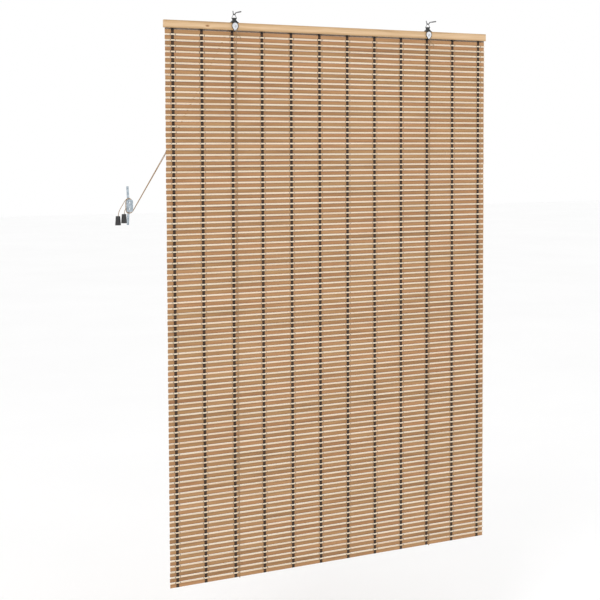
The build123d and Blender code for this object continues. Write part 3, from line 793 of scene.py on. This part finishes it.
# %% Read a route back from its smooth line
def smooth_line(name, points):
    """Points along the NURBS line that a route gives."""
    curve = bpy.data.curves.new(name, "CURVE")
    curve.dimensions = "3D"
    curve.resolution_u = 48
    spline = curve.splines.new("NURBS")
    spline.points.add(len(points) - 1)
    for point, place in zip(spline.points, points):
        point.co = (*place, 1.0)
    spline.order_u = 3
    spline.use_endpoint_u = True
    holder = bpy.data.objects.new(name, curve)
    bpy.context.scene.collection.objects.link(holder)
    seen = holder.evaluated_get(bpy.context.evaluated_depsgraph_get())
    mesh = bpy.data.meshes.new_from_object(seen)
    line = [v.co.copy() for v in mesh.vertices]
    bpy.data.objects.remove(holder)
    bpy.data.meshes.remove(mesh)
    return line


def length_of(line):
    """Length of a run of points, in metres."""
    return sum((b - a).length for a, b in zip(line, line[1:]))


# %% Tree: a laid cord
cord_tree, given = start_tree("laid_cord", {
    "Strands": "Int", "Size": "Float", "Lay": "Float", "Spacing": "Float", "Sides": "Int",
    "Finish": "Material",
})


def build_cord_tree(tree, given):
    """Strands that twist round the line that the tree is given."""
    route = add(tree, "GeometryNodeMeshToCurve", {"Mesh": given["Geometry"]})
    route = add(tree, "GeometryNodeResampleCurve", {"Curve": route.outputs[0]}, mode="LENGTH")
    tree.links.new(given["Spacing"], route.inputs["Length"])
    laid_up = {"Geometry": route.outputs[0], "Amount": given["Strands"]}
    copies = add(tree, "GeometryNodeDuplicateElements", laid_up, domain="SPLINE")
    share = calc(tree, "DIVIDE", copies.outputs[1], given["Strands"])
    along = add(tree, "GeometryNodeSplineParameter").outputs["Length"]
    turns = calc(tree, "ADD", calc(tree, "DIVIDE", along, given["Lay"]), share)
    angle = calc(tree, "MULTIPLY", turns, math.tau)
    normal = add(tree, "GeometryNodeInputNormal").outputs[0]
    tangent = add(tree, "GeometryNodeInputTangent").outputs[0]
    side = add(tree, "ShaderNodeVectorMath", {0: tangent, 1: normal}, operation="CROSS_PRODUCT")
    reach = calc(tree, "MULTIPLY", given["Size"], 0.25)
    parts = []
    for direction, wave in ((normal, "COSINE"), (side.outputs[0], "SINE")):
        part = add(tree, "ShaderNodeVectorMath", {0: direction}, operation="SCALE")
        tree.links.new(calc(tree, "MULTIPLY", calc(tree, wave, angle), reach), part.inputs["Scale"])
        parts.append(part.outputs[0])
    offset = add(tree, "ShaderNodeVectorMath", {0: parts[0], 1: parts[1]}, operation="ADD").outputs[0]
    twisted = add(tree, "GeometryNodeSetPosition", {"Geometry": copies.outputs[0], "Offset": offset})
    strand = add(tree, "GeometryNodeCurvePrimitiveCircle", {"Resolution": given["Sides"]}, mode="RADIUS")
    tree.links.new(calc(tree, "MULTIPLY", given["Size"], 0.27), strand.inputs["Radius"])
    sweep = {"Curve": twisted.outputs[0], "Profile Curve": strand.outputs[0]}
    solid = add(tree, "GeometryNodeCurveToMesh", sweep)
    solid.inputs["Fill Caps"].default_value = True
    smooth = add(tree, "GeometryNodeSetShadeSmooth", {"Geometry": solid.outputs[0]})
    end_tree(tree, smooth.outputs[0], given["Finish"])


build_cord_tree(cord_tree, given)
laid = {
    "Strands": 3, "Size": cord_size, "Lay": 9 * MM, "Spacing": 1.8 * MM, "Sides": 5,
    "Finish": cotton_cord,
}
print("cord tree has", len(cord_tree.nodes), "nodes")

# %% Lift cords
for side in ("left", "right"):
    line = smooth_line(f"{side}_lift_line", lift_route[side])
    cord = grow(f"{side}_lift_rope", cord_tree, laid, line)
    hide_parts(f"{side}_lift_cord")
    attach(cord, "hanger")
    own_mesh(cord)
    print(side, "lift cord", round(length_of(line), 4), "m, faces", len(cord.data.polygons))

# %% Pull cords
for side in ("left", "right"):
    line = smooth_line(f"{side}_pull_line", pull_route[side])
    cord = grow(f"{side}_pull_rope", cord_tree, laid, line)
    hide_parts(f"{side}_pull_cord")
    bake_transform(cord)
    print(side, "pull cord", round(length_of(line), 4), "m")

# %% [markdown]
# ## Knots
# Each lift cord starts at the hole in the tip of its pulley plate, where it is tied in an overhand
# knot with a short free tail. A trefoil is the closed shape of an overhand knot, so its formula
# gives the turns, and the tail is a short route of its own in the same laid cord.

# %% Knots at the pulley plates
def trefoil(centre, size, steps=96):
    """Points round an overhand knot, a little shallower and taller than the plain formula."""
    points = []
    for i in range(steps + 1):
        t = math.tau * i / steps
        x = math.sin(t) + 2 * math.sin(2 * t)
        y = math.cos(t) - 2 * math.cos(2 * t)
        z = -math.sin(3 * t)
        points.append(centre + Vector((x, z * 0.8, y * 1.15)) * size)
    return points


knot_size = 0.62 * MM
tail_steps = [(0, 0, 0), (4, -1, -2), (9, -1.5, -6), (12, -1, -13), (13, -0.5, -20)]
for side in ("left", "right"):
    tied = Vector(lift_route[side][1])
    knot_turns = trefoil(tied, knot_size)
    turns = grow(f"{side}_knot_turns", cord_tree, {**laid, "Spacing": 0.6 * MM}, knot_turns)
    tail_points = [tied + Vector(step) * MM for step in tail_steps]
    tail_line = smooth_line(f"{side}_tail_line", tail_points)
    tail = grow(f"{side}_knot_tail", cord_tree, {**laid, "Spacing": 0.8 * MM}, tail_line)
    knot_piece = joined([turns, tail], f"{side}_knot")
    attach(knot_piece, "hanger")
    print(side, "knot tail", round(length_of(tail_line) / MM, 1), "mm")

# %% [markdown]
# ## Floor and light
# The blind hangs over a plain pale floor in even, soft light. A bright world gives most of it, and
# two large lamps add enough direction to show the rounding of the sticks and yarns.

# %% Floor and light
floor_drop, floor_half = 0.35, 30.0
floor_z = cad_low.z - floor_drop
floor_mesh = bpy.data.meshes.new("floor")
signs = ((-1, -1), (1, -1), (1, 1), (-1, 1))
corners = [(floor_half * x, floor_half * y, floor_z) for x, y in signs]
floor_mesh.from_pydata(corners, [], [(0, 1, 2, 3)])
floor = bpy.data.objects.new("floor", floor_mesh)
bpy.context.scene.collection.objects.link(floor)
pale, tree, shader, place = new_finish("pale_floor", 0.9)
pale_stops = [(0.3, (0.965, 0.965, 0.965)), (0.7, (0.985, 0.985, 0.985))]
connect(tree, ramp(tree, noise(tree, place, 0.8), pale_stops), shader, "Base Color")
floor_mesh.materials.append(pale)

world = bpy.data.worlds.new("studio")
bpy.context.scene.world = world
world.use_nodes = True
world.node_tree.nodes["Background"].inputs["Color"].default_value = (1, 1, 1, 1)
world.node_tree.nodes["Background"].inputs["Strength"].default_value = 1.0


def lamp(name, place, aim, size, power):
    """A large square lamp that points at a place."""
    data = bpy.data.lights.new(name, "AREA")
    data.size = size
    data.energy = power
    holder = bpy.data.objects.new(name, data)
    bpy.context.scene.collection.objects.link(holder)
    turned = (Vector(aim) - Vector(place)).to_track_quat("-Z", "Y").to_matrix().to_4x4()
    holder.matrix_world = Matrix.Translation(place) @ turned


middle = (0.0, 0.0, (cad_low.z + cad_high.z) / 2)
lamp("key", (-2.6, -2.4, 1.9), middle, size=1.2, power=32)
lamp("fill", (2.5, -3.0, 0.5), middle, size=2.5, power=6)
bpy.context.scene.view_settings.view_transform = "Standard"
print("floor at", round(floor_z, 3))
